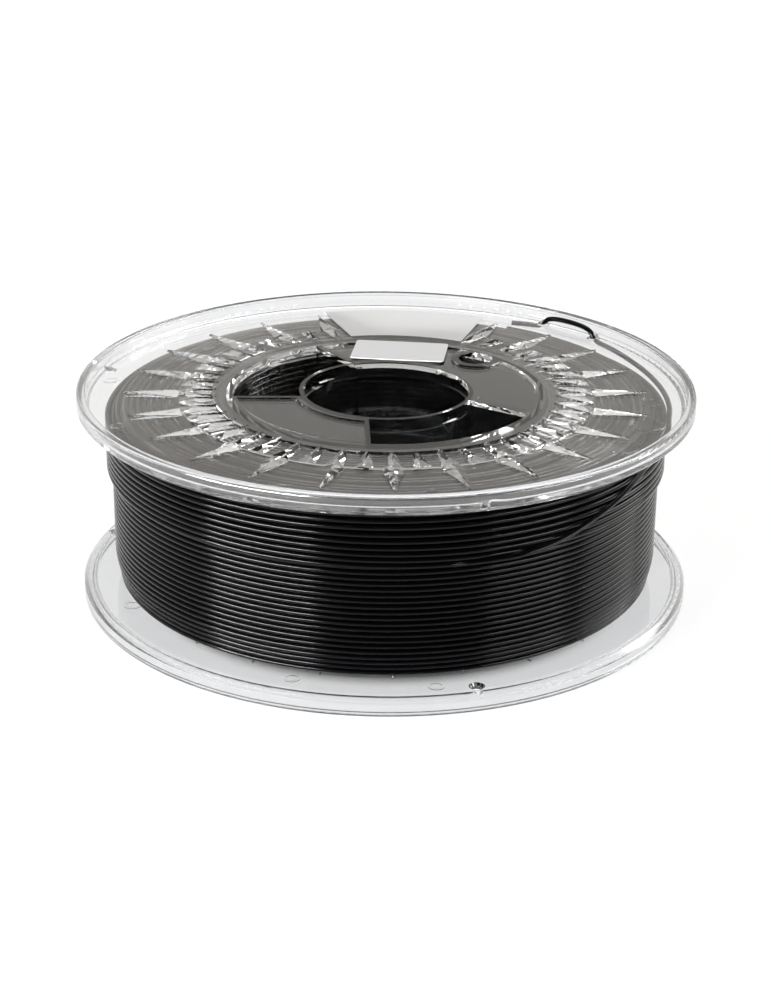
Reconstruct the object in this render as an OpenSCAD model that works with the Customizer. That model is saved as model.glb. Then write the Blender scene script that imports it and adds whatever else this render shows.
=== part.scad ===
// Filament spool: two clear moulded halves, a wound core of filament with its
// outer turns, the free end of the filament threaded through the rim, a
// product label and a small inspection sticker. Millimetres, axis along +Z,
// lower rim standing on Z = 0.

/* [Spool] */
// Diameter over the flanges
flange_d = 200; // [190:1:220]
// Width over both flanges
spool_w = 70; // [60:1:90]
// Turn of the moulded pattern about the axis, degrees
pattern_turn = 47; // [0:1:90]

/* [Flange] */
// Depth of the plate's outer face below the rim
plate_drop = 4.4; // [3.5:0.1:6]
// Thickness of the plate
plate_t = 1.8; // [1.4:0.1:2.6]
// Thickness of the rim wall
rim_t = 3; // [2.4:0.1:4]
// Radius of the rim's outer edge
rim_round = 1; // [0.5:0.1:1.2]
// Radius of the fillet at the rim's foot
rim_fillet = 1.5; // [0.8:0.1:2.2]
// Width of the bevel under the rim
rim_bevel = 1.8; // [0.8:0.1:2.5]

/* [Hub] */
// Diameter of the spindle bore
bore_d = 53; // [48:0.5:56]
// Wall of the bore tube
tube_t = 1.8; // [1.6:0.1:3]
// Diameter of the recess at the mouth of the bore
mouth_d = 54; // [53.6:0.1:55]
// Depth of the recess at the mouth of the bore
mouth_deep = 4.7; // [3:0.1:9]
// Outer diameter of the drum that carries the winding
drum_d = 104; // [96:1:110]
// Wall of the drum
drum_t = 2; // [1.6:0.1:2.6]
// Width of the flat ring round the drum's mouth
hub_ring_w = 6.5; // [5:0.1:8]
// Depth of the flat ring below the rim
hub_drop = 3; // [2.2:0.1:3.6]
// Depth of the web's pockets below the flat ring
web_sink = 0.7; // [0.4:0.1:2]
// Thickness of the web
web_t = 1.5; // [1.2:0.1:2.4]
// Width of the pockets' border on the bore tube
collar_w = 2.1; // [1.4:0.1:3]
// Width of the pockets' border on the drum
lip_w = 1.1; // [0.6:0.1:2]
// Height of the lap that centres one half on the other
lap_h = 2; // [1:0.1:4]
// Clearance round the lap
lap_gap = 0.1; // [0.05:0.05:0.2]

/* [Windows] */
// Direction of the two windows from the pattern's axis, degrees
window_turn = 107; // [100:1:112]
// Angle between the two edges of a window, degrees
window_angle = 55; // [40:1:60]
// Distance by which a window's edges stand off the radial lines
window_offset = 6.6; // [4:0.1:8]
// Thickness of the ribs along the windows
rib_t = 1.5; // [1.2:0.1:2.4]
// Width of the notch that starts the filament
notch_w = 6.6; // [4:0.1:9]
// Height of the notch that starts the filament
notch_h = 4; // [2.5:0.1:6]

/* [Driver hole] */
// Diameter of the driver pin hole
driver_d = 11.6; // [8:0.1:12]
// Wall round the driver pin hole
driver_t = 2.6; // [1.6:0.1:3]

/* [Moulded pattern] */
// Number of long rays
ray_count = 24; // [12:2:30]
// Distance from the rim to the tips of the rays
ray_tip_gap = 11.7; // [8:0.1:20]
// Width of a ray at its root
ray_w = 7; // [4:0.1:7.5]
// Height of a ray's ridge above the plate, at its root
ray_h = 1.4; // [0.8:0.1:1.8]
// Height of a ray's ridge above the plate, at its tip
ray_tip_h = 0.8; // [0.2:0.1:1]
// Diameter of the band's outer edge
band_d = 135; // [130:1:140]
// Height of the band above the plate
band_h = 0.4; // [0.2:0.1:0.8]
// Width of a crystal at its outer end
crystal_w = 5.8; // [3:0.1:6.4]
// Width of a crystal at its inner end
crystal_tip_w = 1.4; // [0.6:0.1:2]
// Length of the slope at a crystal's outer end
crystal_slope = 3; // [1:0.1:4]
// Height of a crystal's ridge above the flat ring
crystal_rise = 0.3; // [0.1:0.05:0.6]
// Height of the upright foot of rays and crystals
foot_h = 0.15; // [0.05:0.05:0.3]
// Height of the blank round frames above the plate
frame_h = 0.25; // [0.15:0.05:0.5]
// Width of the line of the blank round frames
frame_w = 0.7; // [0.5:0.1:1.2]

/* [Retention holes] */
// Diameter of the holes that hold the filament's end
strand_hole_d = 3.4; // [2.6:0.1:4]
// Diameter of the bevelled mouth of those holes
strand_mouth_d = 5; // [4.5:0.1:6]
// Angle between the two holes of the pair, degrees
strand_pair = 14; // [10:1:20]

/* [Filament] */
// Diameter of the filament
filament_d = 1.75; // [1.5:0.05:1.9]
// Distance from the flange's edge to the last full layer
wound_inset = 10.6; // [8:0.1:20]
// Number of turns shown in the last full layer
lower_turns = 15; // [8:1:15]
// Number of turns shown in the part layer on top of it
upper_turns = 6; // [3:1:6]
// Depth of the part layer below the upper flange
part_layer_h = 19.4; // [16:0.1:24]
// Height of the winding's shoulder under the upper flange
shoulder_h = 3; // [1:0.1:5]
// Width of the winding's shoulder under the upper flange
shoulder_w = 2; // [1:0.1:4]
// Clearance between the winding and the flanges and drum
wound_gap = 0.3; // [0.1:0.05:0.6]

/* [Paper] */
// Thickness of the product label
label_t = 0.2; // [0.1:0.05:0.4]
// Direction of the label from the pattern's axis, degrees
label_turn = 37.4; // [36:0.1:39]
// Angle that the label covers, degrees
label_angle = 37.6; // [30:0.1:40]
// Lean of the label's sides, degrees
label_lean = 1.6; // [0:0.1:2]
// Distance from the rim to the label
label_gap = 7.5; // [3:0.1:20]
// Length of the inspection sticker
sticker_l = 31.8; // [24:0.1:33]
// Width of the inspection sticker
sticker_w = 19.4; // [14:0.1:19.6]
// Radius of the sticker's corners
sticker_r = 1.4; // [0.5:0.1:3]
// Thickness of the inspection sticker
sticker_t = 0.15; // [0.1:0.05:0.3]
// Distance from the flat ring's outer edge to the sticker
sticker_gap = 7.3; // [6.8:0.1:7.5]
// Turn of the sticker against the label, degrees
sticker_lean = 0.9; // [0:0.1:3]

/* [Hidden] */
$fn = 96;

// Overlap that makes pieces of one moulding a single solid
weld = 0.4;

// Radii of the flange
rim_r = flange_d / 2;
rim_in_r = rim_r - rim_t;
drum_r = drum_d / 2;
drum_in_r = drum_r - drum_t;
hub_ring_r = drum_in_r + hub_ring_w;
band_r = band_d / 2;
bore_r = bore_d / 2;
tube_r = bore_r + tube_t;
collar_r = tube_r + collar_w;

// Heights of one half, counted from the middle of the spool
half_w = spool_w / 2;
plate_z = half_w - plate_drop;
face_z = plate_z - plate_t;
hub_z = half_w - hub_drop;
web_z = hub_z - web_sink;

// Places on one half
driver_at = drum_in_r - driver_d / 2;
strand_hole_at = rim_in_r - strand_hole_d / 2 - 0.1;
ray_step = 360 / ray_count;
crystal_count = 2 * ray_count;
crystal_step = 360 / crystal_count;
band_z = plate_z + band_h;
crystal_in_r = hub_ring_r - 1.9;
crystal_out_r = band_r - 0.2;
crystal_top_z = hub_z + crystal_rise;
// Blank round frames on the plate: [angle, distance from the axis, diameter]
FRAMES = [[308.8, 85.8, 7.4], [294.7, 86.3, 11.6], [280, 86.8, 10.8], [127, 91.2, 5],
          [154.7, 89.9, 5], [203, 88.3, 5.6], [232.1, 87.2, 5.8]];
// The pattern leaves a smooth field for the label
field_half_angle = label_angle / 2 + label_lean + 0.6;

// Heights on the whole spool
top_face = half_w + face_z;
low_face = half_w - face_z;
top_plate = half_w + plate_z;

// Winding: two layers of turns over a plain core
strand_r = filament_d / 2;
ring_step = 15;
lower_r = rim_r - wound_inset - strand_r;
upper_r = lower_r + filament_d;
lower_core_r = lower_r - filament_d;
upper_core_r = upper_r - filament_d;
core_low_z = low_face + wound_gap;
core_top_z = top_face - wound_gap;
part_layer_z = top_face - part_layer_h;
core_step_z = part_layer_z - strand_r;
shoulder_z = core_top_z - shoulder_h;
lower_first_z = core_low_z + strand_r;
lower_last_z = core_step_z - 0.1 - strand_r;
upper_first_z = shoulder_z - strand_r;
lower_start = 60;
upper_end = 285;
// The part layer starts this far short of a whole turn, at the far side
upper_start_back = 210;
upper_angle = 360 * upper_turns + upper_start_back;

// Free end of the filament, first up to the flange: [degrees past the part layer's end, distance
// outside that layer in diameters of the filament, share of the climb]
climb_route = [[0, 0, 0], [1.2, 0, 0], [4, 0.23, 0.01], [7, 0.63, 0.03], [10, 1.03, 0.05],
               [13, 1.31, 0.09], [17, 1.37, 0.14], [22, 1.37, 0.23], [28, 1.37, 0.38],
               [34, 1.37, 0.53], [40, 1.37, 0.7], [46, 1.37, 0.86], [52, 1.37, 0.95],
               [58, 1.4, 0.99]];
// Then under the flange to the first hole of the pair: [degrees past that hole, distance inside
// the hole circle, height above the plate's inner face]
under_route = [[-51, 3.4, -1.1], [-45, 3.4, -1.1], [-39, 3.4, -1.1], [-33, 3.4, -1.1],
               [-27, 3.3, -1.1], [-21, 3, -1.1], [-15, 2.4, -1.1], [-10, 1.6, -1.1],
               [-6, 0.8, -1.1], [-3, 0.3, -1.1]];
// Then up through it, and down through the second hole the same way
hole_route = [[-1.4, 0.1, -1], [-0.6, 0, -0.5], [-0.2, 0, 0.2], [0.2, 0, 1.2], [0.6, 0, 2.4],
              [1.3, 0, 3.4], [2.5, 0, 4], [4.2, -0.1, 4.3]];
arch_top = [0, -0.2, 4.4];
// The tail under the flange, past the second hole
tail_route = [[3, 0.4, -1.1], [5, 1.2, -1.1], [7, 2.2, -1.1]];

// ---- Vectors ------------------------------------------------------------
function unit(v) = v / norm(v);
function polar(angle, r, z) = [r * cos(angle), r * sin(angle), z];
// Way from one point of a path to the next, and from the one before
function way_in(path, i) = unit(path[max(i, 1)] - path[max(i, 1) - 1]);
function way_out(path, i) = unit(path[min(i, len(path) - 2) + 1] - path[min(i, len(path) - 2)]);
// Ring of points round a path, mitred to the bend at point i
function ring(path, i, r, sides, up) =
    let (along = way_in(path, i),
         mitre = unit(along + way_out(path, i)),
         side = unit(cross(up[i], along)),
         top = cross(along, side))
    [for (k = [0 : sides - 1])
        let (a = 360 * k / sides, offset = r * (cos(a) * side + sin(a) * top))
        path[i] + offset - along * (offset * mitre) / (along * mitre)];

// Unbroken tube along a path; up gives a direction for each point
module tube(path, r, sides, up) {
    last = len(path) - 1;
    points = [for (i = [0 : last]) each ring(path, i, r, sides, up)];
    wall = [for (i = [0 : last - 1], k = [0 : sides - 1])
        let (a = i * sides + k, b = i * sides + (k + 1) % sides)
        each [[a, b, a + sides], [b, b + sides, a + sides]]];
    first_cap = [for (k = [1 : sides - 2]) [0, k + 1, k]];
    last_cap = [for (k = [1 : sides - 2]) [last * sides, last * sides + k, last * sides + k + 1]];
    polyhedron(points = points, faces = concat(wall, first_cap, last_cap));
}

// Helical turns: the first end dips square into the core, and the last one
// does too or runs straight on for one diameter
function turns_path(start, angle, r, core_r, z0, z1, dip_last) =
    let (steps = round(angle / ring_step), back = asin(filament_d / r), last = polar(start + angle, r, z1))
    concat([polar(start, core_r, z0)],
           [for (i = [0 : steps - 1]) polar(start + angle * i / steps, r, z0 + (z1 - z0) * i / steps)],
           dip_last ? [last, polar(start + angle, core_r, z1)] : [polar(start + angle - back, r, z1), last]);

// Points at one height, all turned the same way up
function upright(path) = [for (p = path) [0, 0, 1]];
function outward(path) = [for (p = path) unit([p[0], p[1], 0])];

// ---- One moulded half, its outer face up, its middle at Z = 0 ---------------
// Profile of the flange, its rim and the ring round the drum's mouth
module flange_profile() {
    difference() {
        union() {
            translate([drum_in_r, face_z]) square([rim_r - drum_in_r, plate_t]);
            translate([rim_in_r, face_z]) square([rim_t, half_w - rim_round - face_z]);
            translate([rim_in_r + rim_round / 2, face_z])
                square([rim_t - 1.5 * rim_round, half_w - face_z]);
            translate([rim_r - rim_round, half_w - rim_round]) circle(r = rim_round);
            translate([rim_in_r + rim_round / 2, half_w - rim_round / 2])
                circle(r = rim_round / 2);
            translate([drum_in_r, face_z]) square([hub_ring_w, hub_z - face_z]);
            difference() {
                translate([rim_in_r - rim_fillet, plate_z]) square(rim_fillet);
                translate([rim_in_r - rim_fillet, plate_z + rim_fillet]) circle(r = rim_fillet);
            }
        }
        translate([rim_r, face_z]) rotate(45)
            square(rim_bevel * sqrt(2), center = true);
    }
}

// Wall of the drum and of the bore tube, with the recess at its mouth
module barrel_profile() {
    translate([drum_in_r, 0]) square([drum_t, face_z + weld]);
    difference() {
        translate([bore_r, 0]) square([tube_t, hub_z]);
        translate([0, hub_z - mouth_deep]) square([mouth_d / 2, mouth_deep + 1]);
    }
}

// Outline of a window, grown by a margin
module window_outline(margin) {
    half_angle = window_angle / 2;
    apex = -(window_offset + margin) / sin(half_angle);
    reach = 2 * drum_r;
    polygon([[apex, 0],
             [apex + reach * cos(half_angle), -reach * sin(half_angle)],
             [apex + reach * cos(half_angle), reach * sin(half_angle)]]);
}

module both_windows(margin) {
    for (side = [-1, 1]) rotate(side * window_turn) window_outline(margin);
}

// Space between the bore tube and the drum, reaching a little into both walls
module hub_annulus() {
    difference() {
        circle(r = drum_in_r + weld);
        circle(r = tube_r - weld);
    }
}

module web() {
    translate([0, 0, web_z - web_t]) linear_extrude(web_t) difference() {
        hub_annulus();
        both_windows(0);
    }
}

module window_ribs() {
    linear_extrude(hub_z) intersection() {
        hub_annulus();
        difference() {
            both_windows(rib_t);
            both_windows(0);
        }
    }
}

// Raised border of the web's pockets along the bore tube and the drum
module pocket_border() {
    translate([0, 0, web_z - web_t]) linear_extrude(web_sink + web_t) difference() {
        hub_annulus();
        difference() {
            circle(r = drum_in_r - lip_w);
            circle(r = collar_r);
        }
        both_windows(0);
    }
}

module driver_boss() {
    intersection() {
        translate([driver_at, 0, 0]) cylinder(r = driver_d / 2 + driver_t, h = hub_z);
        cylinder(r = drum_in_r + weld, h = hub_z);
    }
}

// Half of the drum's edge laps outside the other half, and half inside
module lap_tongue() {
    translate([0, 0, lap_gap - lap_h]) rotate_extrude(angle = 180)
        translate([drum_in_r + drum_t / 2 + lap_gap, 0])
        square([drum_t / 2 - lap_gap, lap_h + weld]);
}

// Room for the other half's tongue; it also trims the ends of this one's
module lap_rebate() {
    translate([0, 0, -lap_h - 1]) rotate([0, 0, 180 - lap_gap])
        rotate_extrude(angle = 180 + 2 * lap_gap)
        translate([drum_in_r + drum_t / 2, 0]) square([drum_t, 2 * lap_h + 1]);
}

// Triangular notch that holds the first turn, below the ring on the drum
module start_notch(side) {
    rotate([0, 0, side * 90]) translate([0, 0, face_z - 0.6]) rotate([90, 0, 90])
        linear_extrude(drum_r + 1)
        polygon([[-notch_w / 2, 0], [notch_w / 2, 0], [0, -notch_h]]);
}

// Long ray: a kite with a ridge, its root on the band's edge
module ray() {
    side = ray_w / 2;
    root_r = band_r + 0.8;
    tip_r = rim_in_r - ray_tip_gap;
    back_r = root_r - side;
    low = plate_z - weld;
    outline = [[back_r, 0], [root_r, -side], [tip_r, 0], [root_r, side]];
    ridge = [[root_r, 0, plate_z + ray_h], [tip_r - 0.4, 0, plate_z + ray_tip_h]];
    polyhedron(points = concat(at_height(outline, low), at_height(outline, plate_z + foot_h), ridge),
               faces = concat(foot_faces, [[8, 9, 6], [8, 6, 5], [9, 8, 7], [9, 7, 6],
                                           [8, 5, 4], [8, 4, 7]]));
}

// Crystal: an arrowhead with a ridge and a sloping outer end
module crystal() {
    side = crystal_w / 2;
    tip_side = crystal_tip_w / 2;
    low = plate_z - weld;
    outline = [[crystal_in_r, -tip_side], [crystal_out_r, -side], [crystal_out_r, side],
               [crystal_in_r, tip_side]];
    ridge = [[crystal_in_r + tip_side, 0, crystal_top_z],
             [crystal_out_r - crystal_slope, 0, crystal_top_z]];
    polyhedron(points = concat(at_height(outline, low), at_height(outline, band_z + foot_h), ridge),
               faces = concat(foot_faces, [[8, 9, 5], [8, 5, 4], [9, 8, 7], [9, 7, 6],
                                           [9, 6, 5], [8, 4, 7]]));
}

// Foot of a ray or a crystal: four walls on a flat bottom
foot_faces = [[0, 1, 2, 3], [4, 5, 1, 0], [5, 6, 2, 1], [6, 7, 3, 2], [7, 4, 0, 3]];
function at_height(outline, z) = [for (p = outline) [p[0], p[1], z]];

// Blank round frame, a raised line on the plate
module round_frame(angle, r, d) {
    rotate([0, 0, angle]) translate([r, 0, plate_z - weld]) linear_extrude(frame_h + weld)
        difference() {
            circle(d = d, $fn = 36);
            circle(d = d - 2 * frame_w, $fn = 36);
        }
}

// Is this direction clear of the label's field?
function shown(angle, margin) =
    abs((angle - label_turn + 540) % 360 - 180) > field_half_angle + margin;

module moulded_pattern() {
    start = label_turn + field_half_angle;
    rotate([0, 0, start]) rotate_extrude(angle = 360 - 2 * field_half_angle)
        translate([hub_ring_r - weld, plate_z - weld])
        square([band_r - hub_ring_r + weld, band_h + weld]);
    for (i = [0 : ray_count - 1])
        if (shown(i * ray_step, 1)) rotate([0, 0, i * ray_step]) ray();
    for (i = [0 : crystal_count - 1])
        if (shown(i * crystal_step, 1)) rotate([0, 0, i * crystal_step]) crystal();
    for (f = FRAMES) round_frame(f[0], f[1], f[2]);
}

// Hole for the filament's end, with a bevelled mouth inside and outside
module strand_hole(angle) {
    bevel = (strand_mouth_d - strand_hole_d) / 2;
    rotate([0, 0, angle]) translate([strand_hole_at, 0, 0]) {
        translate([0, 0, face_z - 1]) cylinder(d = strand_hole_d, h = half_w - face_z + 2);
        translate([0, 0, face_z - 0.01])
            cylinder(d1 = strand_mouth_d, d2 = strand_hole_d, h = bevel);
    }
}

module moulded_half() {
    difference() {
        union() {
            rotate_extrude() flange_profile();
            rotate_extrude() barrel_profile();
            web();
            window_ribs();
            pocket_border();
            driver_boss();
            lap_tongue();
            moulded_pattern();
        }
        translate([driver_at, 0, -1]) cylinder(d = driver_d, h = half_w + 1);
        lap_rebate();
        for (side = [-1, 1]) start_notch(side);
        for (angle = [-strand_pair / 2, strand_pair / 2, 120, 240]) strand_hole(angle);
    }
}

// ---- Sub-parts ----------------------------------------------------------
module upper_half() {
    color([0.86, 0.88, 0.9, 0.35])
        translate([0, 0, half_w]) rotate([0, 0, pattern_turn]) moulded_half();
}

// The same moulding turned over about the pattern's axis
module lower_half() {
    color([0.86, 0.88, 0.9, 0.35])
        translate([0, 0, half_w]) rotate([0, 0, pattern_turn]) rotate([180, 0, 0]) moulded_half();
}

module winding_core() {
    color([0.05, 0.05, 0.06]) difference() {
        union() {
            translate([0, 0, core_low_z]) cylinder(r = lower_core_r, h = shoulder_z - core_low_z);
            translate([0, 0, core_step_z]) cylinder(r = upper_core_r, h = shoulder_z - core_step_z);
            translate([0, 0, shoulder_z])
                cylinder(r1 = upper_core_r, r2 = upper_core_r - shoulder_w, h = shoulder_h);
        }
        translate([0, 0, core_low_z - 1])
            cylinder(r = drum_r + wound_gap, h = core_top_z - core_low_z + 2);
    }
}

module lower_turns_layer() {
    color([0.07, 0.07, 0.08]) tube(lower_path, strand_r, 6, upright(lower_path));
}

module upper_turns_layer() {
    color([0.07, 0.07, 0.08]) tube(upper_path, strand_r, 6, upright(upper_path));
}

// Places of the free end's points
climb_h = top_face + under_route[0][2] - part_layer_z;
first_hole = 360 + pattern_turn - strand_pair / 2;
second_hole = first_hole + strand_pair;
function at_plate(hole, p) = polar(hole + p[0], strand_hole_at - p[1], top_face + p[2]);
function mirrored(route) = [for (i = [len(route) - 1 : -1 : 0]) [-route[i][0], route[i][1], route[i][2]]];
end_path = concat([for (p = climb_route)
                      polar(upper_end + p[0], upper_r + filament_d * p[1], part_layer_z + climb_h * p[2])],
                  [for (p = concat(under_route, hole_route)) at_plate(first_hole, p)],
                  [at_plate(first_hole + strand_pair / 2, arch_top)],
                  [for (p = concat(mirrored(hole_route), tail_route)) at_plate(second_hole, p)]);

module filament_end() {
    color([0.07, 0.07, 0.08]) tube(end_path, strand_r, 8, outward(end_path));
}

module product_label() {
    inner_r = hub_ring_r + 0.8;
    outer_r = rim_in_r - label_gap;
    half_angle = label_angle / 2;
    steps = 24;
    rim = [for (i = [-steps : steps]) let (a = label_lean + half_angle * i / steps)
        outer_r * [cos(a), sin(a)]];
    foot = [for (i = [steps : -1 : -steps]) let (a = -label_lean + half_angle * i / steps)
        inner_r * [cos(a), sin(a)]];
    color([0.95, 0.95, 0.94]) translate([0, 0, top_plate])
        rotate([0, 0, pattern_turn + label_turn]) linear_extrude(label_t)
        polygon(concat(rim, foot));
}

module inspection_sticker() {
    centre_r = hub_ring_r - sticker_gap - sticker_w / 2;
    inset = [sticker_l / 2 - sticker_r, sticker_w / 2 - sticker_r];
    color([0.96, 0.96, 0.95]) translate([0, 0, half_w + hub_z])
        rotate([0, 0, pattern_turn + label_turn - sticker_lean]) translate([centre_r, 0, 0])
        linear_extrude(sticker_t) union() {
            square([sticker_w, sticker_l - 2 * sticker_r], center = true);
            square([sticker_w - 2 * sticker_r, sticker_l], center = true);
            for (x = [-1, 1], y = [-1, 1])
                translate([x * inset[1], y * inset[0]]) circle(r = sticker_r);
        }
}

// ---- Least gap of each wound tube to itself, on points of its middle line -----
half_loop = 180 / ring_step;
function spread(path) =
    min([for (i = [0 : 2 : len(path) - 1], j = [i + half_loop : len(path) - 1])
        norm(path[i] - path[j])]);
lower_path = turns_path(lower_start, 360 * lower_turns, lower_r, lower_core_r,
                        lower_first_z, lower_last_z, true);
upper_path = turns_path(upper_end - upper_angle, upper_angle, upper_r, upper_core_r,
                        upper_first_z, part_layer_z, false);
echo(lower_layer_gap = spread(lower_path) - filament_d);
echo(upper_layer_gap = spread(upper_path) - filament_d);

upper_half();
lower_half();
winding_core();
lower_turns_layer();
upper_turns_layer();
filament_end();
product_label();
inspection_sticker();
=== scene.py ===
"""Clear moulded filament spool: its finishes, its winding and the studio it stands in."""
import logging
import math
import random
from dataclasses import dataclass
from enum import Enum

import bmesh
import bpy
from mathutils import Euler, Matrix, Vector


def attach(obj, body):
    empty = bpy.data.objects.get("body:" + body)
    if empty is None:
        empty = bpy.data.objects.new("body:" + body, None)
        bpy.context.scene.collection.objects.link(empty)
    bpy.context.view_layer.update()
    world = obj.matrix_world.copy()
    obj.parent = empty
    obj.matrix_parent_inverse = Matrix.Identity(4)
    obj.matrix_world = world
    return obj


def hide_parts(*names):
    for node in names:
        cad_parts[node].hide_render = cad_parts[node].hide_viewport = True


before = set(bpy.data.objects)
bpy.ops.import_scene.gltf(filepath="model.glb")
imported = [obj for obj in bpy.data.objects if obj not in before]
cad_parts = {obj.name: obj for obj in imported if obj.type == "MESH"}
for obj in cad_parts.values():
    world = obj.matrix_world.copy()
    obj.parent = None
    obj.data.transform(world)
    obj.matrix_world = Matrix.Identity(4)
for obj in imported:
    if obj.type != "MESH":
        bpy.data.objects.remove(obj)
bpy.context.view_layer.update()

LOG = logging.getLogger("spool")
MM = 0.001
BODY = "root"

# Share of a tube's radius within which its long edges are joined
JOIN_SHARE = 0.01
# Distance between the rows of inner strands beside a flange
ROW_PITCH = 1.98 * MM
# The Mix node's sockets for colours: first colour, second colour, mixed colour
MIX_FIRST, MIX_SECOND, MIXED = 6, 7, 2

Range = tuple[float, float]
Triple = tuple[float, float, float]
Inputs = dict[str | int, object]


class Slot(Enum):
    """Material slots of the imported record."""

    CLEAR = "clear_plastic"
    FILAMENT = "filament"
    LABEL = "label_paper"
    STICKER = "sticker_paper"


class Effect(Enum):
    """Shader effects that finishes share, with the names of their node groups."""

    UNEVEN = "uneven_surface"
    RADIUS = "radius_mask"
    # Painted sheen: lighter streaks in the colour along the rows of strands, in place of their
    # highlight lines
    PAINTED_SHEEN = "painted_row_sheen"


class Light(Enum):
    """Parts of the studio's light."""

    OVERHEAD = "overhead_box"
    LEFT_STRIP = "left_strip"
    RIGHT_STRIP = "right_strip"
    BACK_STRIP = "back_strip"


# ---- Geometry helpers -------------------------------------------------------------
def polar(angle: float, radius: float, height: float) -> Vector:
    """Gives a point from its angle in degrees, its radius and its height.

    Args:
        angle: Direction about the spool's axis, in degrees.
        radius: Distance from the axis, in metres.
        height: Height above the floor, in metres.

    Returns:
        The point in the spool's frame.
    """
    turn = math.radians(angle)
    return Vector((radius * math.cos(turn), radius * math.sin(turn), height))


def smooth_step(value: float, low: float, high: float) -> float:
    """Rises smoothly from 0 at low to 1 at high.

    Args:
        value: The number to look at.
        low: Where the rise starts.
        high: Where the rise ends.

    Returns:
        A share from 0 to 1.
    """
    share = min(max((value - low) / (high - low), 0.0), 1.0)
    return share * share * (3.0 - 2.0 * share)


def spline(points: list[Vector], parts: int) -> list[Vector]:
    """Runs a smooth line through points, keeping its two ends straight.

    Args:
        points: The points that the line passes.
        parts: Steps between one point and the next.

    Returns:
        The points of the smooth line.
    """
    ends = [2 * points[0] - points[1], *points, 2 * points[-1] - points[-2]]
    line = []
    for before, start, end, after in zip(ends, ends[1:], ends[2:], ends[3:]):
        for step in range(parts):
            t = step / parts
            line.append(0.5 * (2 * start + (end - before) * t
                               + (2 * before - 5 * start + 4 * end - after) * t ** 2
                               + (3 * start - before - 3 * end + after) * t ** 3))
    return [*line, points[-1]]


def set_order(mesh: bmesh.types.BMesh) -> None:
    """Puts points and faces into an order that is the same in each run.

    Args:
        mesh: A shape whose order was left open where points merged.
    """
    points = sorted(mesh.verts, key=lambda vert: vert.co.to_tuple())
    point_ranks = {vert: rank for rank, vert in enumerate(points)}
    faces = sorted(mesh.faces,
                   key=lambda face: sorted(point_ranks[vert] for vert in face.verts))
    face_ranks = {face: rank for rank, face in enumerate(faces)}
    mesh.verts.sort(key=point_ranks.get)
    mesh.faces.sort(key=face_ranks.get)


def finished(name: str, mesh: bmesh.types.BMesh) -> bpy.types.Object:
    """Turns a bmesh into a smooth-shaded object that stands at the origin.

    Args:
        name: Name of the new object.
        mesh: The shape, in metres; it is freed.

    Returns:
        The new object.
    """
    data = bpy.data.meshes.new(name)
    mesh.to_mesh(data)
    mesh.free()
    for face in data.polygons:
        face.use_smooth = True
    piece = bpy.data.objects.new(name, data)
    bpy.context.scene.collection.objects.link(piece)
    return piece


def roll_tube(name: str, path: list[Vector], radius: float, sides: int) -> bpy.types.Object:
    """Rolls a flat grid up around a path and joins its long edges into a round tube.

    Args:
        name: Name of the new object.
        path: Points of the tube's middle line.
        radius: Radius of the tube.
        sides: Number of sides of the section.

    Returns:
        The tube, closed at both ends.
    """
    places = []
    along = (path[1] - path[0]).normalized()
    turned = along.to_track_quat("Z", "X").to_matrix()
    for i, point in enumerate(path):
        ahead = (path[min(i + 1, len(path) - 1)] - path[max(i - 1, 0)]).normalized()
        turned = along.rotation_difference(ahead).to_matrix() @ turned
        along = ahead
        places.append(Matrix.Translation(point) @ turned.to_4x4())
    mesh = bmesh.new()
    # The flat grid reaches from -0.5 to 0.5 both ways
    bmesh.ops.create_grid(mesh, x_segments=sides, y_segments=len(path) - 1, size=0.5)
    for vert in mesh.verts:
        turn = math.tau * round((vert.co.x + 0.5) * sides) / sides
        place = places[round((vert.co.y + 0.5) * (len(path) - 1))]
        vert.co = place @ Vector((radius * math.cos(turn), radius * math.sin(turn), 0))
    bmesh.ops.remove_doubles(mesh, verts=list(mesh.verts), dist=radius * JOIN_SHARE)
    bmesh.ops.holes_fill(mesh, edges=[edge for edge in mesh.edges if edge.is_boundary], sides=0)
    bmesh.ops.recalc_face_normals(mesh, faces=list(mesh.faces))
    return finished(name, mesh)


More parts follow.
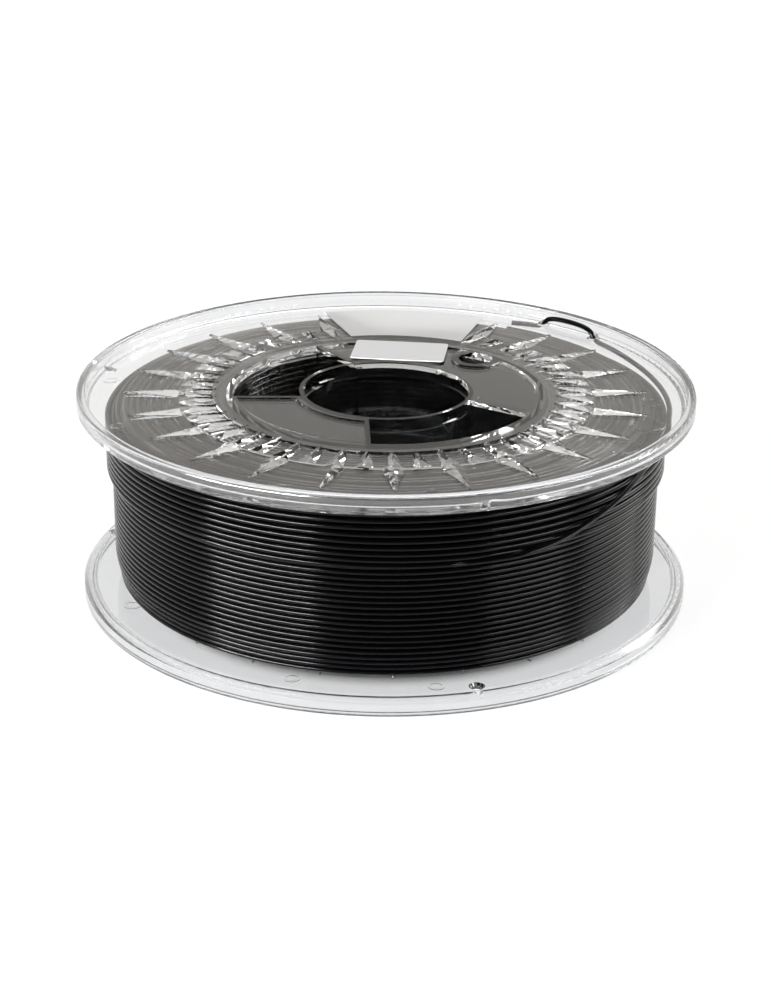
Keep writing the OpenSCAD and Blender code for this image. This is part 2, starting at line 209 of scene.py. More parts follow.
# ---- Shader helpers and shared effects ----------------------------------------------
class NodeBoard:
    """Short ways to add and join shader nodes."""

    def __init__(self, tree: bpy.types.NodeTree) -> None:
        """Keeps the tree that the nodes go into."""
        self.tree = tree

    def find(self, kind: str) -> bpy.types.Node:
        """Gives the first node of a type."""
        return next(node for node in self.tree.nodes if node.type == kind)

    def feed(self, node: bpy.types.Node, inputs: Inputs) -> None:
        """Sets a node's inputs.

        Args:
            node: The node that takes them.
            inputs: Input names or numbers with a value or an output to join.
        """
        for key, value in inputs.items():
            if isinstance(value, bpy.types.NodeSocket):
                self.tree.links.new(value, node.inputs[key])
            else:
                node.inputs[key].default_value = value

    def add(self, kind: str, inputs: Inputs | None = None, **settings: object) -> bpy.types.Node:
        """Adds a node.

        Args:
            kind: Type name of the node.
            inputs: Input names or numbers with a value or an output to join.
            settings: Attributes to set on the node.

        Returns:
            The new node.
        """
        node = self.tree.nodes.new(kind)
        for name, value in settings.items():
            setattr(node, name, value)
        self.feed(node, inputs or {})
        return node

    def reckon(self, operation: str, first: object, second: object) -> bpy.types.NodeSocket:
        """Works out one number from two.

        Args:
            operation: Name of the operation, such as ADD.
            first: The first number, or an output.
            second: The second number, or an output.

        Returns:
            The result.
        """
        node = self.add("ShaderNodeMath", {0: first, 1: second}, operation=operation)
        return node.outputs["Value"]

    def remap(self, value: bpy.types.NodeSocket, source: tuple = (0.0, 1.0),
              target: Range = (0.0, 1.0), smooth: bool = False) -> bpy.types.NodeSocket:
        """Maps a value from one range to another.

        Args:
            value: The output to map.
            source: The range to map from, as two numbers or two outputs.
            target: The range to map to.
            smooth: Whether the change is eased at both ends.

        Returns:
            The mapped value.
        """
        node = self.add("ShaderNodeMapRange",
                        {"Value": value, "From Min": source[0], "From Max": source[1],
                         "To Min": target[0], "To Max": target[1]},
                        interpolation_type="SMOOTHSTEP" if smooth else "LINEAR")
        return node.outputs["Result"]

    def tone(self, share: bpy.types.NodeSocket, first: Triple, second: Triple
             ) -> bpy.types.NodeSocket:
        """Mixes two colours.

        Args:
            share: The second colour's share.
            first: Colour where the share is 0.
            second: Colour where the share is 1.

        Returns:
            The mixed colour.
        """
        node = self.add("ShaderNodeMix", {"Factor": share, MIX_FIRST: (*first, 1.0),
                                          MIX_SECOND: (*second, 1.0)}, data_type="RGBA")
        return node.outputs[MIXED]

    def bump(self, height: bpy.types.NodeSocket, strength: float, depth: float
             ) -> bpy.types.NodeSocket:
        """Turns a height into a normal.

        Args:
            height: The height, from 0 to 1.
            strength: Share of the effect.
            depth: Depth that a height of 1 stands for, in metres.

        Returns:
            The normal.
        """
        node = self.add("ShaderNodeBump", {"Strength": strength, "Distance": depth,
                                           "Height": height})
        return node.outputs["Normal"]

    def across(self, vector: bpy.types.NodeSocket
               ) -> tuple[bpy.types.NodeSocket, bpy.types.NodeSocket]:
        """Looks at a point along the spool's axis.

        Args:
            vector: The point.

        Returns:
            The point without its height, and its distance from the axis.
        """
        flat = self.add("ShaderNodeVectorMath", {0: vector, 1: (1.0, 1.0, 0.0)},
                        operation="MULTIPLY").outputs["Vector"]
        radius = self.add("ShaderNodeVectorMath", {0: flat}, operation="LENGTH")
        return flat, radius.outputs["Value"]

    def place(self, effect: Effect, **values: float) -> bpy.types.Node:
        """Places a shared effect on Object coordinates; its group is built at first use.

        Args:
            effect: The effect to place.
            values: Values for the group's inputs, with _ for a space in their names.

        Returns:
            The group's node.
        """
        group = bpy.data.node_groups.get(effect.value) or EFFECT_BUILDERS[effect]()
        where = self.add("ShaderNodeTexCoord")
        inputs = {key.replace("_", " "): value for key, value in values.items()}
        return self.add("ShaderNodeGroup", {"Vector": where.outputs["Object"], **inputs},
                        node_tree=group)


def start_group(effect: Effect, inputs: tuple[str, ...], outputs: tuple[str, ...]
                ) -> tuple[NodeBoard, bpy.types.NodeOutputs]:
    """Starts the node group of a shared effect.

    Args:
        effect: The effect that the group makes.
        inputs: Names of its number inputs; Vector is added by itself.
        outputs: Names of its number outputs.

    Returns:
        The board for its nodes, and the values that it is given.
    """
    tree = bpy.data.node_groups.new(effect.value, "ShaderNodeTree")
    tree.interface.new_socket("Vector", in_out="INPUT", socket_type="NodeSocketVector")
    for name in inputs:
        tree.interface.new_socket(name, in_out="INPUT", socket_type="NodeSocketFloat")
    for name in outputs:
        tree.interface.new_socket(name, in_out="OUTPUT", socket_type="NodeSocketFloat")
    board = NodeBoard(tree)
    return board, board.add("NodeGroupInput").outputs


def build_uneven() -> bpy.types.NodeTree:
    """Builds the fine unevenness of every finish: a slow drift and a fine grain.

    Returns:
        A group with the outputs Drift and Grain, both from 0 to 1.
    """
    board, given = start_group(Effect.UNEVEN, ("Drift Scale", "Grain Scale"), ("Drift", "Grain"))
    drift = board.add("ShaderNodeTexNoise", {"Vector": given["Vector"], "Detail": 2.0,
                                             "Scale": given["Drift Scale"], "Roughness": 0.5})
    grain = board.add("ShaderNodeTexNoise", {"Vector": given["Vector"], "Detail": 4.0,
                                             "Scale": given["Grain Scale"], "Roughness": 0.6})
    board.add("NodeGroupOutput", {"Drift": drift.outputs["Fac"], "Grain": grain.outputs["Fac"]})
    return board.tree


def build_radius() -> bpy.types.NodeTree:
    """Builds a mask by distance from the spool's axis.

    Returns:
        A group with the output Mask, which rises from 0 at radius Inner to 1 at radius Outer.
    """
    board, given = start_group(Effect.RADIUS, ("Inner", "Outer"), ("Mask",))
    _, radius = board.across(given["Vector"])
    mask = board.remap(radius, (given["Inner"], given["Outer"]), smooth=True)
    board.add("NodeGroupOutput", {"Mask": mask})
    return board.tree


def build_painted_sheen() -> bpy.types.NodeTree:
    """Builds painted streaks of sheen about the spool's axis, one Pitch wide, that change Swing
    times a metre.

    Returns:
        A group with the output Streak, from 0 to 1.
    """
    faint, full = 0.38, 0.66
    board, given = start_group(Effect.PAINTED_SHEEN, ("Pitch", "Swing"), ("Painted Sheen",))
    flat, radius = board.across(given["Vector"])
    swing = board.add("ShaderNodeVectorMath", {0: flat, "Scale": given["Swing"]},
                      operation="SCALE")
    parts = board.add("ShaderNodeSeparateXYZ", {0: swing.outputs["Vector"]})
    place = board.add("ShaderNodeCombineXYZ", {"X": board.reckon("DIVIDE", radius, given["Pitch"]),
                                               "Y": parts.outputs["X"],
                                               "Z": parts.outputs["Y"]})
    noise = board.add("ShaderNodeTexNoise", {"Vector": place.outputs["Vector"], "Scale": 1.0,
                                             "Detail": 2.0, "Roughness": 0.7})
    board.add("NodeGroupOutput",
              {"Painted Sheen": board.remap(noise.outputs["Fac"], (faint, full), smooth=True)})
    return board.tree


EFFECT_BUILDERS = {Effect.UNEVEN: build_uneven, Effect.RADIUS: build_radius,
                   Effect.PAINTED_SHEEN: build_painted_sheen}


# ---- Finishes ---------------------------------------------------------------------
@dataclass(frozen=True)
class Finish:
    """What all finishes share: a named material with one Principled shader."""

    name: str

    def begin(self, **constants: object) -> tuple[bpy.types.Material, NodeBoard, bpy.types.Node]:
        """Starts a material.

        Args:
            constants: Values for the shader's sockets, with _ for a space in their names.

        Returns:
            The material, the board for its nodes, and its Principled shader.
        """
        material = bpy.data.materials.new(self.name)
        material.use_nodes = True
        board = NodeBoard(material.node_tree)
        shader = board.find("BSDF_PRINCIPLED")
        board.feed(shader, {key.replace("_", " "): value for key, value in constants.items()})
        return material, board, shader

    def build(self) -> bpy.types.Material:
        """Makes the material; each finish does it in its own way."""
        raise NotImplementedError(self.name)


@dataclass(frozen=True)
class ClearPlastic(Finish):
    """Clear polystyrene, polished, with a faint ripple from moulding and a softer rim."""

    tint: Triple = (0.945, 0.95, 0.955)
    rim_tint: Triple = (0.84, 0.85, 0.865)
    refraction: float = 1.57
    roughness: Range = (0.0, 0.03)
    drift_scale: float = 60.0
    grain_scale: float = 700.0
    ripple: float = 0.02
    ripple_depth: float = 0.1 * MM
    rim_haze: float = 0.15
    rim_inner: float = 95.5 * MM
    rim_outer: float = 98.5 * MM

    def build(self) -> bpy.types.Material:
        """Makes the material.

        Returns:
            A clear material with a slightly uneven gloss.
        """
        material, board, shader = self.begin(IOR=self.refraction, Transmission_Weight=1.0)
        uneven = board.place(Effect.UNEVEN, Drift_Scale=self.drift_scale,
                             Grain_Scale=self.grain_scale)
        rim = board.place(Effect.RADIUS, Inner=self.rim_inner,
                          Outer=self.rim_outer).outputs["Mask"]
        polish = board.remap(uneven.outputs["Drift"], target=self.roughness)
        haze = board.remap(rim, target=(0.0, self.rim_haze))
        board.feed(shader, {
            "Base Color": board.tone(rim, self.tint, self.rim_tint),
            "Roughness": board.reckon("ADD", polish, haze),
            "Normal": board.bump(uneven.outputs["Drift"], self.ripple, self.ripple_depth)})
        return material


@dataclass(frozen=True)
class BlackStrand(Finish):
    """Black extruded filament with a soft gloss, fine marks and, where it has them, painted
    streaks of sheen along its rows.
    """

    colour: Triple = (0.0003, 0.00033, 0.00045)
    roughness: Range = (0.13, 0.2)
    refraction: float = 1.7
    shine: float = 0.12
    drift_scale: float = 120.0
    grain_scale: float = 2500.0
    marks: float = 0.04
    mark_depth: float = 0.05 * MM
    # Painted sheen: a lighter colour mixed into the rows in streaks, standing in for their
    # highlight lines
    painted_sheen: Triple | None = None
    painted_sheen_pitch: float = ROW_PITCH
    painted_sheen_swing: float = 14.0

    def build(self) -> bpy.types.Material:
        """Makes the material.

        Returns:
            A black material whose gloss drifts a little.
        """
        material, board, shader = self.begin(Base_Color=(*self.colour, 1.0), IOR=self.refraction,
                                             Specular_Tint=(*([self.shine] * 3), 1.0))
        uneven = board.place(Effect.UNEVEN, Drift_Scale=self.drift_scale,
                             Grain_Scale=self.grain_scale)
        board.feed(shader, {
            "Roughness": board.remap(uneven.outputs["Drift"], target=self.roughness),
            "Normal": board.bump(uneven.outputs["Grain"], self.marks, self.mark_depth)})
        # Painted sheen: warm grey streaks in the base colour along the rows of strands
        if self.painted_sheen:
            rows = board.place(Effect.PAINTED_SHEEN, Pitch=self.painted_sheen_pitch, Swing=self.painted_sheen_swing)
            board.feed(shader, {"Base Color": board.tone(rows.outputs["Painted Sheen"], self.colour,
                                                         self.painted_sheen)})
        return material


@dataclass(frozen=True)
class WhitePaper(Finish):
    """Coated white paper with faint fibres."""

    colour: Triple = (0.82, 0.823, 0.826)
    shade: Triple = (0.77, 0.773, 0.776)
    roughness: Range = (0.38, 0.5)
    refraction: float = 1.5
    drift_scale: float = 90.0
    grain_scale: float = 1800.0
    fibres: float = 0.05
    fibre_depth: float = 0.05 * MM

    def build(self) -> bpy.types.Material:
        """Makes the material.

        Returns:
            A white paper with a slightly uneven sheen.
        """
        material, board, shader = self.begin(IOR=self.refraction)
        uneven = board.place(Effect.UNEVEN, Drift_Scale=self.drift_scale,
                             Grain_Scale=self.grain_scale)
        board.feed(shader, {
            "Base Color": board.tone(uneven.outputs["Grain"], self.colour, self.shade),
            "Roughness": board.remap(uneven.outputs["Drift"], target=self.roughness),
            "Normal": board.bump(uneven.outputs["Grain"], self.fibres, self.fibre_depth)})
        return material


@dataclass(frozen=True)
class PaleTable(Finish):
    """Matt pale table top that glows a little, with a painted shadow: no glow in its middle, under
    the spool.
    """

    albedo: float = 0.25
    glow: float = 0.8
    roughness: float = 0.9
    # Painted shadow under the spool: the glow fades out from the outer radius in to the inner one
    painted_shadow_inner: float = 74 * MM
    painted_shadow_outer: float = 84 * MM

    def build(self) -> bpy.types.Material:
        """Makes the material.

        Returns:
            A pale material without gloss.
        """
        material, board, shader = self.begin(
            Base_Color=(*([self.albedo] * 3), 1.0), Roughness=self.roughness,
            Specular_IOR_Level=0.0, Emission_Strength=self.glow)
        # Painted shadow: this mask takes the glow away under the spool
        lit = board.place(Effect.RADIUS, Inner=self.painted_shadow_inner, Outer=self.painted_shadow_outer)
        board.feed(shader, {"Emission Color": lit.outputs["Mask"]})
        return material


@dataclass(frozen=True)
class Palette:
    """The finishes of the spool's pieces."""

    upper_clear: Finish = ClearPlastic("clear_polystyrene")
    # The lower half gets a darker copy of the same plastic: painted shade that keeps it from
    # looking too bright over the glowing table
    shaded_lower_clear: Finish = ClearPlastic("clear_polystyrene_lower_shaded", tint=(0.89, 0.9, 0.91))
    strand: Finish = BlackStrand("black_strand")
    # The rows beside the flanges get painted sheen: warm grey streaks in their colour in place of
    # the highlight lines that they catch
    cheek: Finish = BlackStrand("black_strand_cheek", colour=(0.002, 0.0018, 0.0016),
                                roughness=(0.12, 0.22), shine=1.0, painted_sheen=(0.19, 0.172, 0.15))
    pressed: Finish = BlackStrand("black_strand_pressed", roughness=(0.06, 0.1),
                                  refraction=1.9, shine=1.0)
    label: Finish = WhitePaper("label_sheet")
    sticker: Finish = WhitePaper("sticker_sheet", colour=(0.69, 0.694, 0.7),
                                 shade=(0.64, 0.644, 0.65))


def dress(piece: bpy.types.Object, material: bpy.types.Material) -> None:
    """Gives a piece or a node one material."""
    piece.data.materials.clear()
    piece.data.materials.append(material)


def belong(piece: bpy.types.Object, slot: Slot, *nodes: str) -> None:
    """Puts a piece on the spool's body, hides the nodes that it replaces and logs its slot.

    Args:
        piece: The finished piece.
        slot: The record's material slot.
        nodes: Names of the nodes that the piece replaces.
    """
    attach(piece, BODY)
    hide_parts(*nodes)
    LOG.info("%s: %d faces, %s", piece.name, len(piece.data.polygons), slot.value)


def keep(node: str, slot: Slot, finish: Finish) -> None:
    """Dresses a node that keeps its own shape, and names its slot.

    Args:
        node: Name of the node.
        slot: The record's material slot.
        finish: The finish that it gets.
    """
    dress(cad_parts[node], finish.build())
    LOG.info("%s keeps its shape, %s", node, slot.value)


# ---- Winding ----------------------------------------------------------------------
@dataclass(frozen=True)
class Shoulder:
    """How far the winding steps in beside a flange."""

    height: float
    width: float

    def inset(self, distance: float) -> float:
        """Gives the step inwards at a distance from the flange's side of the winding.

        Args:
            distance: Distance from that end of the winding, in metres.

        Returns:
            How far the strand lies inside the full radius.
        """
        return self.width * (1.0 - smooth_step(distance, 0.0, self.height))


@dataclass(frozen=True)
class Winding:
    """The wound filament between the flanges: its body, outer layers and free end.

    Sizes are in metres, and directions about the spool's axis in degrees.
    """

    # Sizes of the whole winding
    diameter: float = 1.75 * MM
    pitch: float = 1.86 * MM
    drum_radius: float = 52.3 * MM
    full_radius: float = 89.4 * MM
    low: float = 6.5 * MM
    high: float = 63.5 * MM
    upper_shoulder: Shoulder = Shoulder(height=3.4 * MM, width=2.2 * MM)
    lower_shoulder: Shoulder = Shoulder(height=9.0 * MM, width=1.4 * MM)
    full_layer_start: float = 60.0
    # Part layer on top of the last full one; its turns spread towards one side
    part_layer_low: float = 44.4 * MM
    part_layer_high: float = 60.2 * MM
    part_layer_turns: float = 8 + 210 / 360
    part_layer_end: float = 285.0
    rise: float = 2.3 * MM
    rise_towards: float = 340.0
    rise_above: float = 4 * MM
    settle_height: float = 2 * MM
    # Rows of inner strands beside a flange: how deep a row may lie, the depths that occur as
    # shares of it, and how far a row may shift sideways as a share of it
    row_pitch: float = ROW_PITCH
    row_wander: float = 0.8 * MM
    row_depths: tuple[float, ...] = (0.0, 0.1, 0.3, 1.0)
    row_shift: float = 0.12
    # Slow waves that the outer rows follow: their rates per metre of height, and the number of
    # strand radii over which they fade out beside each end of the winding
    seed: int = 7
    sway: float = 0.035 * MM
    sway_waves: int = 6
    sway_size: Range = (0.3, 1.0)
    sway_counts: tuple[int, int] = (1, 4)
    sway_rates: Range = (150, 600)
    sway_fade: int = 4
    # Fineness of the meshes
    ring_steps: int = 120
    sides: int = 10
    body_steps: int = 180
    arc_parts: int = 6
    end_sides: int = 16
    end_parts: int = 4
    # Free end: the flange's holes and inner face
    climb_height: float = 18.3 * MM
    first_hole: float = 400.0
    hole_pair: float = 14.0
    flange_face: float = 63.8 * MM
    hole_circle: float = 95.2 * MM
    # Climb over the part layer: degrees past its end, distance outside it in diameters,
    # share of the climb
    climb: tuple[Triple, ...] = (
        (0, 0, 0), (1.2, 0, 0), (4, 0.23, 0.01), (7, 0.63, 0.03), (10, 1.03, 0.05),
        (13, 1.31, 0.09), (17, 1.37, 0.14), (22, 1.37, 0.23), (28, 1.37, 0.38),
        (34, 1.37, 0.53), (40, 1.37, 0.7), (46, 1.37, 0.86), (52, 1.37, 0.95), (58, 1.4, 0.99))
    # Under the flange: degrees past the first hole, distance inside the hole circle and height
    # above the flange's inner face, both in millimetres
    under: tuple[Triple, ...] = (
        (-51, 3.4, -1.1), (-45, 3.4, -1.1), (-39, 3.4, -1.1), (-33, 3.4, -1.1),
        (-27, 3.3, -1.1), (-21, 3, -1.1), (-15, 2.4, -1.1), (-10, 1.6, -1.1),
        (-6, 0.8, -1.1), (-3, 0.3, -1.1))
    # Up through a hole, then the middle of the loop over the flange, and the tail
    rising: tuple[Triple, ...] = (
        (-1.4, 0.1, -1), (-0.6, 0, -0.5), (-0.2, 0, 0.2), (0.2, 0, 1.2), (0.6, 0, 2.4),
        (1.3, 0, 3.4), (2.5, 0, 4), (4.2, -0.1, 4.3))
    loop_top: Triple = (0, -0.2, 4.4)
    tail: tuple[Triple, ...] = ((3, 0.4, -1.1), (5, 1.2, -1.1), (7, 2.2, -1.1))

    @property
    def strand(self) -> float:
        """Radius of the filament."""
        return self.diameter / 2

    @property
    def full_line(self) -> float:
        """Radius of the last full layer's middle line."""
        return self.full_radius - self.strand

    @property
    def part_line(self) -> float:
        """Radius of the part layer's middle line."""
        return self.full_line + self.diameter

    @property
    def first_row(self) -> float:
        """Height of the lowest row's middle line."""
        return self.low + self.strand

    @property
    def last_row(self) -> float:
        """Height of the highest row's middle line."""
        return self.high - self.strand

    def inset(self, height: float) -> float:
        """Gives how far the last full layer steps in at a height."""
        return (self.upper_shoulder.inset(self.last_row - height)
                + self.lower_shoulder.inset(height - self.low - self.strand))

    def wander(self, angle: float, height: float) -> float:
        """Lets the rows wander up and down a little, as wound rows do.

        Args:
            angle: Direction about the axis, in degrees.
            height: Height of the row.

        Returns:
            The row's move up or down, in metres.
        """
        draw = random.Random(self.seed)
        total = 0.0
        for _ in range(self.sway_waves):
            size, count = draw.uniform(*self.sway_size), draw.randint(*self.sway_counts)
            phase, rate = draw.uniform(0, math.tau), draw.uniform(*self.sway_rates)
            total += size * math.sin(count * math.radians(angle) + phase + rate * height)
        reach = self.sway_fade * self.strand
        fade = smooth_step(height, self.first_row, self.low + reach)
        fade *= 1 - smooth_step(height, self.high - reach, self.last_row)
        return self.sway * total * fade

    def lifted(self, angle: float, height: float) -> float:
        """Gives the height of a part layer's row where its turns spread towards one side.

        Args:
            angle: Direction about the axis, in degrees.
            height: Height of the row before it spreads.

        Returns:
            The row's height.
        """
        lean = 0.5 + 0.5 * math.cos(math.radians(angle - self.rise_towards))
        spread = smooth_step(height, self.part_layer_low + self.rise_above, self.part_layer_high)
        start = smooth_step(height, self.part_layer_low, self.part_layer_low + self.settle_height)
        return height + self.rise * lean * spread + self.wander(angle, height) * start

    def rows(self, start: Vector, end: Vector, out: Vector, loose: float) -> list[Vector]:
        """Draws the edge of a side as the round backs of the strands that lie in it.

        Args:
            start: First corner of the side.
            end: Last corner of the side.
            out: Direction that the backs bulge to.
            loose: How much lower than the others a row may lie.

        Returns:
            The points of the edge.
        """
        draw = random.Random(self.seed)
        count = max(round((end - start).length / self.row_pitch), 1)
        step = (end - start) / count
        along = step.normalized()
        points = []
        for i in range(count):
            depth = loose * draw.choice(self.row_depths)
            shift = along * draw.uniform(-1, 1) * loose * self.row_shift
            middle = start + step * (i + 0.5) + shift
            for k in range(self.arc_parts + 1):
                turn = math.pi * k / self.arc_parts
                points.append(middle - along * self.strand * math.cos(turn)
                              + out * (self.strand * math.sin(turn) - depth))
        return points

    def build_body(self) -> bpy.types.Object:
        """Revolves the body of inner layers, its visible sides made of strands.

        Returns:
            The closed ring between the flanges and the drum.
        """
        inner = self.drum_radius + self.strand
        outer = self.full_line - self.strand
        low, high = self.first_row, self.last_row
        corners = [Vector((inner, 0, low)), Vector((inner, 0, high)),
                   Vector((outer - self.upper_shoulder.width, 0, high)),
                   Vector((outer, 0, high - self.upper_shoulder.height)),
                   Vector((outer, 0, low + self.lower_shoulder.height)),
                   Vector((outer - self.lower_shoulder.width, 0, low))]
        profile = self.rows(corners[0], corners[1], Vector((-1, 0, 0)), 0)
        profile += self.rows(corners[1], corners[2], Vector((0, 0, 1)), self.row_wander)
        profile += corners[2:]
        profile += self.rows(corners[5], corners[0], Vector((0, 0, -1)), self.row_wander)
        mesh = bmesh.new()
        verts = [mesh.verts.new(point) for point in profile]
        edges = [mesh.edges.new((a, b)) for a, b in zip(verts, verts[1:] + verts[:1])]
        bmesh.ops.spin(mesh, geom=verts + edges, cent=(0, 0, 0), axis=(0, 0, 1), dvec=(0, 0, 0),
                       angle=math.tau, steps=self.body_steps, use_merge=True,
                       use_normal_flip=False, use_duplicate=False)
        bmesh.ops.recalc_face_normals(mesh, faces=list(mesh.faces))
        set_order(mesh)
        return finished("inner_layers", mesh)

    def full_layer_path(self) -> list[Vector]:
        """Gives the middle line of the last full layer.

        Returns:
            Points from the lower flange to the upper one.
        """
        reach = self.last_row - self.first_row
        steps = round(reach / self.pitch) * self.ring_steps
        path = []
        for i in range(steps + 1):
            angle = self.full_layer_start + 360 * i / self.ring_steps
            height = self.first_row + reach * i / steps
            path.append(polar(angle, self.full_line - self.inset(height),
                              height + self.wander(angle, height)))
        return path

    def part_layer_path(self) -> list[Vector]:
        """Gives the middle line of the part layer.

        Returns:
            Points from the upper flange down to where the free end leaves.
        """
        steps = round(self.part_layer_turns * self.ring_steps)
        path = []
        for i in range(steps + 1):
            share = i / steps
            angle = self.part_layer_end - 360 * self.part_layer_turns * (1 - share)
            height = self.part_layer_high + (self.part_layer_low - self.part_layer_high) * share
            path.append(polar(angle, self.part_line, self.lifted(angle, height)))
        return path

    def at_flange(self, hole: float, point: Triple) -> Vector:
        """Gives a point of the free end beside the flange.

        Args:
            hole: Direction of the hole that the point is counted from, in degrees.
            point: Degrees past the hole, then inwards and upwards in millimetres.

        Returns:
            The point in the spool's frame.
        """
        angle, inside, up = point
        return polar(hole + angle, self.hole_circle - inside * MM, self.flange_face + up * MM)

    def free_end_path(self) -> list[Vector]:
        """Gives the middle line of the free end.

        Returns:
            Points of the climb, the stretch under the flange, the loop and the tail.
        """
        second = self.first_hole + self.hole_pair
        falling = [(-angle, inside, up) for angle, inside, up in reversed(self.rising)]
        path = [polar(self.part_layer_end + angle, self.part_line + out * self.diameter,
                      self.part_layer_low + share * self.climb_height)
                for angle, out, share in self.climb]
        path += [self.at_flange(self.first_hole, point) for point in self.under + self.rising]
        path.append(self.at_flange(self.first_hole + self.hole_pair / 2, self.loop_top))
        path += [self.at_flange(second, point) for point in (*falling, *self.tail)]
        return spline(path, self.end_parts)

    def build(self, palette: Palette) -> None:
        """Makes and dresses every piece of the winding.

        Args:
            palette: The finishes of the spool; its cheek is for the rows beside the flanges,
                and its pressed strand is for the rows on the drum.
        """
        body = self.build_body()
        full = roll_tube("last_full_layer", self.full_layer_path(), self.strand, self.sides)
        part = roll_tube("part_layer", self.part_layer_path(), self.strand, self.sides)
        free = roll_tube("free_end", self.free_end_path(), self.strand, self.end_sides)
        dress(body, palette.cheek.build())
        body.data.materials.append(palette.pressed.build())
        for face in body.data.polygons:
            face.material_index = int(face.center.xy.length < self.drum_radius + self.strand)
        strand = palette.strand.build()
        for piece in (full, part, free):
            dress(piece, strand)
        belong(body, Slot.FILAMENT, "winding_core")
        belong(full, Slot.FILAMENT, "lower_turns_layer")
        belong(part, Slot.FILAMENT, "upper_turns_layer")
        belong(free, Slot.FILAMENT, "filament_end")


# ---- Mouldings and paper --------------------------------------------------------------
@dataclass(frozen=True)
class Mouldings:
    """The two clear halves, which keep their own shape."""

    upper: str = "upper_half"
    lower: str = "lower_half"

    def build(self, palette: Palette) -> None:
        """Dresses the halves.

        Args:
            palette: The finishes of the spool.
        """
        keep(self.upper, Slot.CLEAR, palette.upper_clear)
        keep(self.lower, Slot.CLEAR, palette.shaded_lower_clear)


@dataclass(frozen=True)
class Papers:
    """The blank label and the blank sticker, which keep their own shape."""

    label: str = "product_label"
    sticker: str = "inspection_sticker"

    def build(self, palette: Palette) -> None:
        """Dresses the papers.

        Args:
            palette: The finishes of the spool.
        """
        keep(self.label, Slot.LABEL, palette.label)
        keep(self.sticker, Slot.STICKER, palette.sticker)


# ---- Studio ------------------------------------------------------------------------
@dataclass(frozen=True)
class SoftBox:
    """A soft box on a sphere about the spool, facing it; angles in degrees, sizes in metres."""

    kind: Light
    azimuth: float
    elevation: float
    distance: float
    width: float
    height: float
    radiance: float

    def build(self, aim: Vector) -> None:
        """Hangs the box.

        Args:
            aim: The point that it faces.
        """
        data = bpy.data.lights.new(self.kind.value, "AREA")
        data.shape = "RECTANGLE"
        data.size = self.width
        data.size_y = self.height
        data.energy = self.radiance * math.pi * self.width * self.height
        rise = math.radians(self.elevation)
        away = polar(self.azimuth, math.cos(rise), math.sin(rise)) * self.distance
        light = bpy.data.objects.new(self.kind.value, data)
        light.matrix_world = (Matrix.Translation(aim + away)
                              @ (-away).to_track_quat("-Z", "Y").to_matrix().to_4x4())
        bpy.context.scene.collection.objects.link(light)
        LOG.info("%s hangs at %.0f degrees", self.kind.value, self.azimuth)


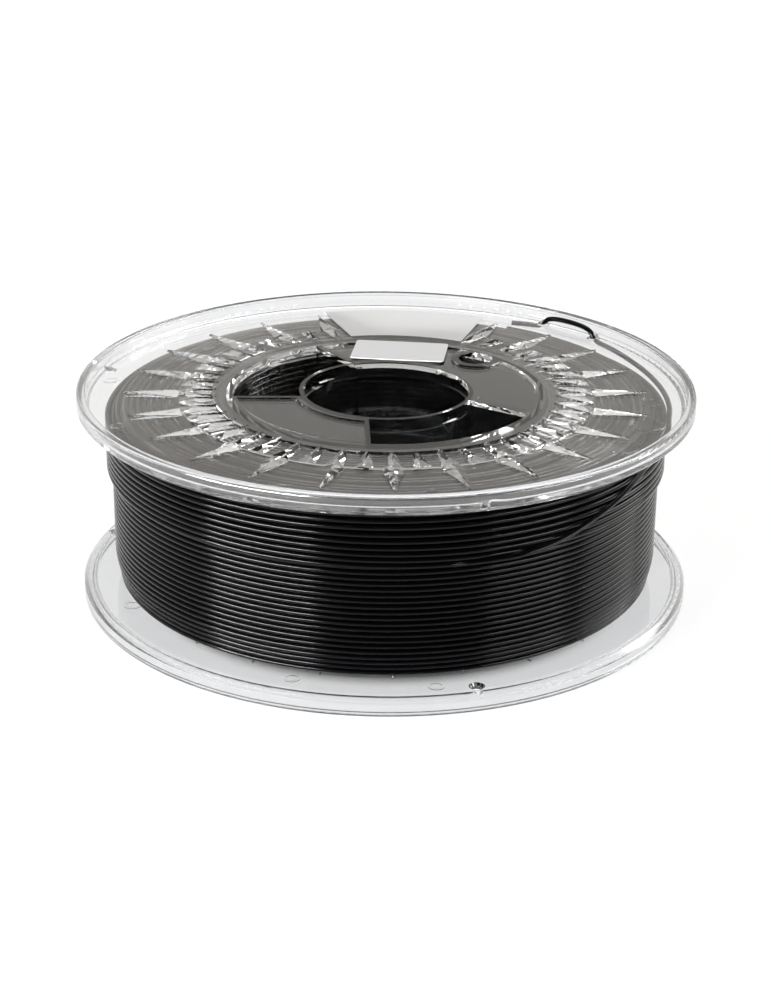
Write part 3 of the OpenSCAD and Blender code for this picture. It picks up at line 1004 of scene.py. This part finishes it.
@dataclass(frozen=True)
class Studio:
    """Camera, pale lit table and soft light; sizes in metres, angles in degrees."""

    # Camera
    aim: Triple = (0.14 * MM, 0.0, 27.98 * MM)
    elevation: float = 22.497
    distance: float = 709.44 * MM
    roll: float = 0.589
    focal_share: float = 2.1346
    sensor: float = 36.0
    nearest: float = 0.01
    # Table
    table: Finish = PaleTable("floor_pale")
    floor_size: float = 8.0
    # Room: its light from front to back, its gain to the right and its share from low to
    # high, each with the range of directions that it changes over
    front_to_back: Range = (0.02, 0.64)
    front_to_back_over: Range = (-0.35, 0.2)
    right_gain: Range = (1.0, 1.3)
    right_gain_over: Range = (0.1, 0.8)
    low_to_high: Range = (1.02, 0.35)
    low_to_high_over: Range = (0.2, 0.8)
    warmth: Triple = (1.0, 0.965, 0.915)
    # Reflections that the light may take inside the clear plastic
    bounces: int = 32
    boxes: tuple[SoftBox, ...] = (
        SoftBox(Light.OVERHEAD, azimuth=65, elevation=58, distance=1.9, width=1.8, height=0.8,
                radiance=3.8),
        SoftBox(Light.LEFT_STRIP, azimuth=222, elevation=5, distance=1.7, width=1.33,
                height=0.11, radiance=320.0),
        SoftBox(Light.RIGHT_STRIP, azimuth=327, elevation=5, distance=1.7, width=1.0,
                height=0.12, radiance=60.0),
        SoftBox(Light.BACK_STRIP, azimuth=18, elevation=24, distance=1.9, width=1.1,
                height=0.25, radiance=12.0))

    def build_camera(self) -> None:
        """Sets the camera on the spool, tilted down and slightly rolled."""
        data = bpy.data.cameras.new("camera")
        data.sensor_width = self.sensor
        data.lens = self.sensor * self.focal_share
        data.clip_start = self.nearest
        camera = bpy.data.objects.new("camera", data)
        tilt = math.radians(self.elevation)
        away = Vector((0, -math.cos(tilt), math.sin(tilt)))
        look = Euler((math.pi / 2 - tilt, 0, 0)).to_matrix().to_4x4()
        camera.matrix_world = (Matrix.Translation(Vector(self.aim) + away * self.distance) @ look
                               @ Matrix.Rotation(math.radians(self.roll), 4, "Z"))
        bpy.context.scene.collection.objects.link(camera)
        bpy.context.scene.camera = camera

    def build_floor(self) -> None:
        """Lays a wide pale table that glows a little, with a painted shadow where the winding
        covers it: no glow there.
        """
        mesh = bmesh.new()
        bmesh.ops.create_grid(mesh, x_segments=1, y_segments=1, size=self.floor_size / 2)
        floor = finished("floor", mesh)
        dress(floor, self.table.build())

    def build_world(self) -> None:
        """Makes the room bright behind the spool, brighter to the right, dim in front."""
        world = bpy.data.worlds.new("studio")
        world.use_nodes = True
        bpy.context.scene.world = world
        board = NodeBoard(world.node_tree)
        where = board.add("ShaderNodeTexCoord")
        axes = board.add("ShaderNodeSeparateXYZ", {0: where.outputs["Generated"]}).outputs
        light = board.remap(axes["Y"], self.front_to_back_over, self.front_to_back, smooth=True)
        gain = board.remap(axes["X"], self.right_gain_over, self.right_gain, smooth=True)
        share = board.remap(axes["Z"], self.low_to_high_over, self.low_to_high)
        wide = board.reckon("MULTIPLY", light, gain)
        board.feed(board.find("BACKGROUND"), {"Strength": board.reckon("MULTIPLY", wide, share),
                                              "Color": (*self.warmth, 1.0)})

    def build(self) -> None:
        """Builds the whole studio."""
        self.build_camera()
        self.build_floor()
        self.build_world()
        for box in self.boxes:
            box.build(Vector(self.aim))
        view = bpy.context.scene.view_settings
        view.view_transform = "Standard"
        view.look = "None"
        cycles = bpy.context.scene.cycles
        cycles.max_bounces = self.bounces
        cycles.glossy_bounces = self.bounces
        cycles.transmission_bounces = self.bounces


def main() -> None:
    """Builds the studio and the spool's sub-assemblies in order."""
    logging.basicConfig(level=logging.INFO, format="%(name)s %(relativeCreated)d ms: %(message)s")
    palette = Palette()
    Studio().build()
    Winding().build(palette)
    Mouldings().build(palette)
    Papers().build(palette)


if __name__ == "__main__":
    main()
